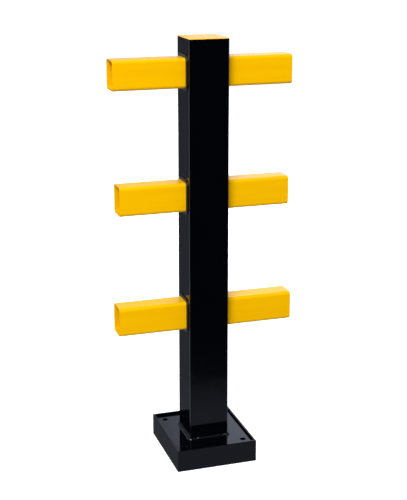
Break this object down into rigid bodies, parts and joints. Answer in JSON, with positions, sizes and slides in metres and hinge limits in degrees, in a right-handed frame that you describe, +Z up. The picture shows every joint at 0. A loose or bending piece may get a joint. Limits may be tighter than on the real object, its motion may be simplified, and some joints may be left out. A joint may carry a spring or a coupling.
{
  "type": "steel barrier bollard",
  "caption": "Square steel guard post on a sprung foot, with rectangular rails through grommets in its sides and a flat push-in top cap.",
  "frame": {"origin": "on the post's axis, on the underside of the base", "axes": "+Z up along the post, X along the rails, +Y towards the face with the lock screws"},
  "size_m": [0.4535, 0.231, 1.0585],
  "materials": {
    "black_paint": "gloss black powder coat",
    "yellow_paint": "satin safety-yellow paint",
    "yellow_plastic": "satin moulded safety yellow",
    "black_plastic": "satin moulded black",
    "black_steel": "black oxide",
    "plated_steel": "bright zinc plate",
    "elastomer": "matt black"
  },
  "bodies": {
    "base": {"base_floor": "black_paint", "base_wall_front": "black_paint", "base_wall_rear": "black_paint", "base_wall_left": "black_paint", "base_wall_right": "black_paint", "buffer_front_left": "elastomer", "buffer_front_right": "elastomer", "buffer_rear_left": "elastomer", "buffer_rear_right": "elastomer"},
    "post": {"base_plate": "black_paint", "foot_weld": "black_paint", "post_tube": "black_paint", "top_cap": "yellow_plastic", "upper_left_grommet": "black_plastic", "upper_right_grommet": "black_plastic", "middle_left_grommet": "black_plastic", "middle_right_grommet": "black_plastic", "lower_left_grommet": "black_plastic", "lower_right_grommet": "black_plastic", "lock_screws": "black_steel", "lock_washers": "black_steel", "lock_nuts": "plated_steel"},
    "upper_rail": {"upper_rail": "yellow_paint"},
    "middle_rail": {"middle_rail": "yellow_paint"},
    "lower_rail": {"lower_rail": "yellow_paint"}
  },
  "joints": [
    {"name": "post_tilt", "type": "hinge", "parent": "base", "child": "post", "pos_m": [0, 0, 0.0455], "axis": [1, 0, 0], "range_deg": [-3, 3], "stiffness_Nm_per_rad": 6000, "deforming": ["buffer_front_left", "buffer_front_right", "buffer_rear_left", "buffer_rear_right"]},
    {"name": "upper_rail_slide", "type": "slide", "parent": "post", "child": "upper_rail", "axis": [1, 0, 0], "range_m": [-0.019, 0.031]},
    {"name": "middle_rail_slide", "type": "slide", "parent": "post", "child": "middle_rail", "axis": [1, 0, 0], "range_m": [-0.02275, 0.02725]},
    {"name": "lower_rail_slide", "type": "slide", "parent": "post", "child": "lower_rail", "axis": [1, 0, 0], "range_m": [-0.02525, 0.02475]}
  ]
}
